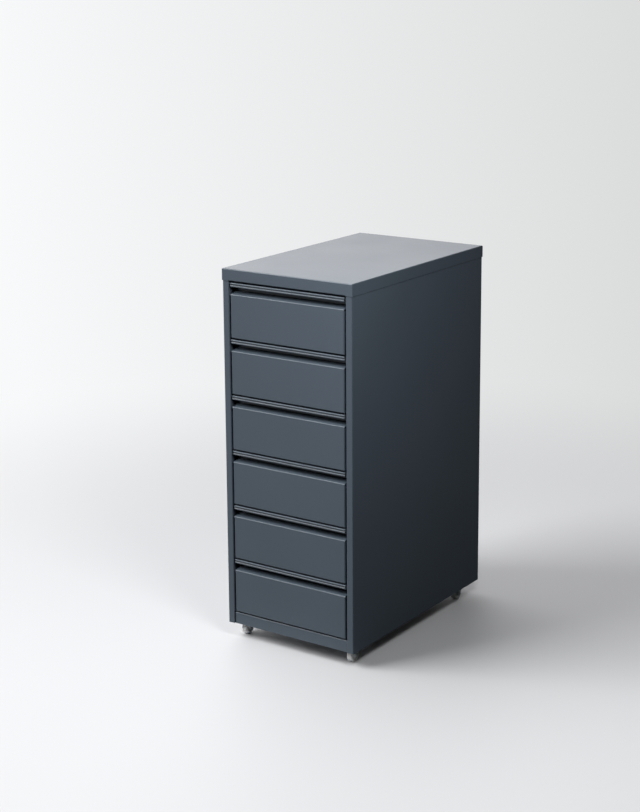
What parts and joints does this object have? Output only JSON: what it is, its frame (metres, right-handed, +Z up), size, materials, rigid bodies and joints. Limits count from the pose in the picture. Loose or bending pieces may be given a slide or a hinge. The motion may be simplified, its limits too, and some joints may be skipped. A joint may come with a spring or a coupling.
{
  "type": "drawer cabinet",
  "caption": "Narrow sheet steel drawer cabinet on swivel casters, with full width drawers that have a folded finger recess along the top edge.",
  "frame": {"origin": "on the floor, at the centre of the cabinet's footprint", "axes": "+Z up, -Y out of the drawer fronts, +X to the right of someone who faces the drawers"},
  "size_m": [0.28, 0.45, 0.7],
  "materials": {
    "blue_grey_paint": "satin powder coat, blue grey",
    "zinc_plate": "bright zinc plate",
    "ball_steel": "polished",
    "wheel_plastic": "moulded, light grey"
  },
  "bodies": {
    "cabinet": {"top_cap": "blue_grey_paint", "side_panel_left": "blue_grey_paint", "side_panel_right": "blue_grey_paint", "back_panel": "blue_grey_paint", "bottom_pan": "blue_grey_paint", "caster_channel_front": "zinc_plate", "caster_channel_rear": "zinc_plate", "caster_screws": "zinc_plate", "runner_left_1": "zinc_plate", "runner_left_2": "zinc_plate", "runner_left_3": "zinc_plate", "runner_left_4": "zinc_plate", "runner_left_5": "zinc_plate", "runner_left_6": "zinc_plate", "runner_right_1": "zinc_plate", "runner_right_2": "zinc_plate", "runner_right_3": "zinc_plate", "runner_right_4": "zinc_plate", "runner_right_5": "zinc_plate", "runner_right_6": "zinc_plate", "caster_plate_front_left": "zinc_plate", "caster_plate_front_right": "zinc_plate", "caster_plate_rear_left": "zinc_plate", "caster_plate_rear_right": "zinc_plate", "caster_kingpin_front_left": "zinc_plate", "caster_kingpin_front_right": "zinc_plate", "caster_kingpin_rear_left": "zinc_plate", "caster_kingpin_rear_right": "zinc_plate", "caster_balls_front_left": "ball_steel", "caster_balls_front_right": "ball_steel", "caster_balls_rear_left": "ball_steel", "caster_balls_rear_right": "ball_steel"},
    "drawer_1": {"drawer_front_1": "blue_grey_paint", "drawer_tray_1": "blue_grey_paint"},
    "drawer_2": {"drawer_front_2": "blue_grey_paint", "drawer_tray_2": "blue_grey_paint"},
    "drawer_3": {"drawer_front_3": "blue_grey_paint", "drawer_tray_3": "blue_grey_paint"},
    "drawer_4": {"drawer_front_4": "blue_grey_paint", "drawer_tray_4": "blue_grey_paint"},
    "drawer_5": {"drawer_front_5": "blue_grey_paint", "drawer_tray_5": "blue_grey_paint"},
    "drawer_6": {"drawer_front_6": "blue_grey_paint", "drawer_tray_6": "blue_grey_paint"},
    "swivel_front_left": {"caster_fork_front_left": "zinc_plate", "caster_axle_front_left": "zinc_plate"},
    "wheel_front_left": {"caster_wheel_front_left": "wheel_plastic"},
    "swivel_front_right": {"caster_fork_front_right": "zinc_plate", "caster_axle_front_right": "zinc_plate"},
    "wheel_front_right": {"caster_wheel_front_right": "wheel_plastic"},
    "swivel_rear_left": {"caster_fork_rear_left": "zinc_plate", "caster_axle_rear_left": "zinc_plate"},
    "wheel_rear_left": {"caster_wheel_rear_left": "wheel_plastic"},
    "swivel_rear_right": {"caster_fork_rear_right": "zinc_plate", "caster_axle_rear_right": "zinc_plate"},
    "wheel_rear_right": {"caster_wheel_rear_right": "wheel_plastic"}
  },
  "joints": [
    {"name": "drawer_slide_1", "type": "slide", "parent": "cabinet", "child": "drawer_1", "axis": [0, -1, 0], "range_m": [0, 0.31]},
    {"name": "drawer_slide_2", "type": "slide", "parent": "cabinet", "child": "drawer_2", "axis": [0, -1, 0], "range_m": [0, 0.31]},
    {"name": "drawer_slide_3", "type": "slide", "parent": "cabinet", "child": "drawer_3", "axis": [0, -1, 0], "range_m": [0, 0.31]},
    {"name": "drawer_slide_4", "type": "slide", "parent": "cabinet", "child": "drawer_4", "axis": [0, -1, 0], "range_m": [0, 0.31]},
    {"name": "drawer_slide_5", "type": "slide", "parent": "cabinet", "child": "drawer_5", "axis": [0, -1, 0], "range_m": [0, 0.31]},
    {"name": "drawer_slide_6", "type": "slide", "parent": "cabinet", "child": "drawer_6", "axis": [0, -1, 0], "range_m": [0, 0.31]},
    {"name": "caster_swivel_front_left", "type": "hinge", "parent": "cabinet", "child": "swivel_front_left", "pos_m": [-0.118, -0.183, 0.033], "axis": [0, 0, 1], "continuous": true},
    {"name": "wheel_spin_front_left", "type": "hinge", "parent": "swivel_front_left", "child": "wheel_front_left", "pos_m": [-0.118, -0.194, 0.0125], "axis": [1, 0, 0], "continuous": true},
    {"name": "caster_swivel_front_right", "type": "hinge", "parent": "cabinet", "child": "swivel_front_right", "pos_m": [0.118, -0.183, 0.033], "axis": [0, 0, 1], "continuous": true},
    {"name": "wheel_spin_front_right", "type": "hinge", "parent": "swivel_front_right", "child": "wheel_front_right", "pos_m": [0.118, -0.194, 0.0125], "axis": [1, 0, 0], "continuous": true},
    {"name": "caster_swivel_rear_left", "type": "hinge", "parent": "cabinet", "child": "swivel_rear_left", "pos_m": [-0.118, 0.183, 0.033], "axis": [0, 0, 1], "continuous": true},
    {"name": "wheel_spin_rear_left", "type": "hinge", "parent": "swivel_rear_left", "child": "wheel_rear_left", "pos_m": [-0.118, 0.172, 0.0125], "axis": [1, 0, 0], "continuous": true},
    {"name": "caster_swivel_rear_right", "type": "hinge", "parent": "cabinet", "child": "swivel_rear_right", "pos_m": [0.118, 0.183, 0.033], "axis": [0, 0, 1], "continuous": true},
    {"name": "wheel_spin_rear_right", "type": "hinge", "parent": "swivel_rear_right", "child": "wheel_rear_right", "pos_m": [0.118, 0.172, 0.0125], "axis": [1, 0, 0], "continuous": true}
  ]
}
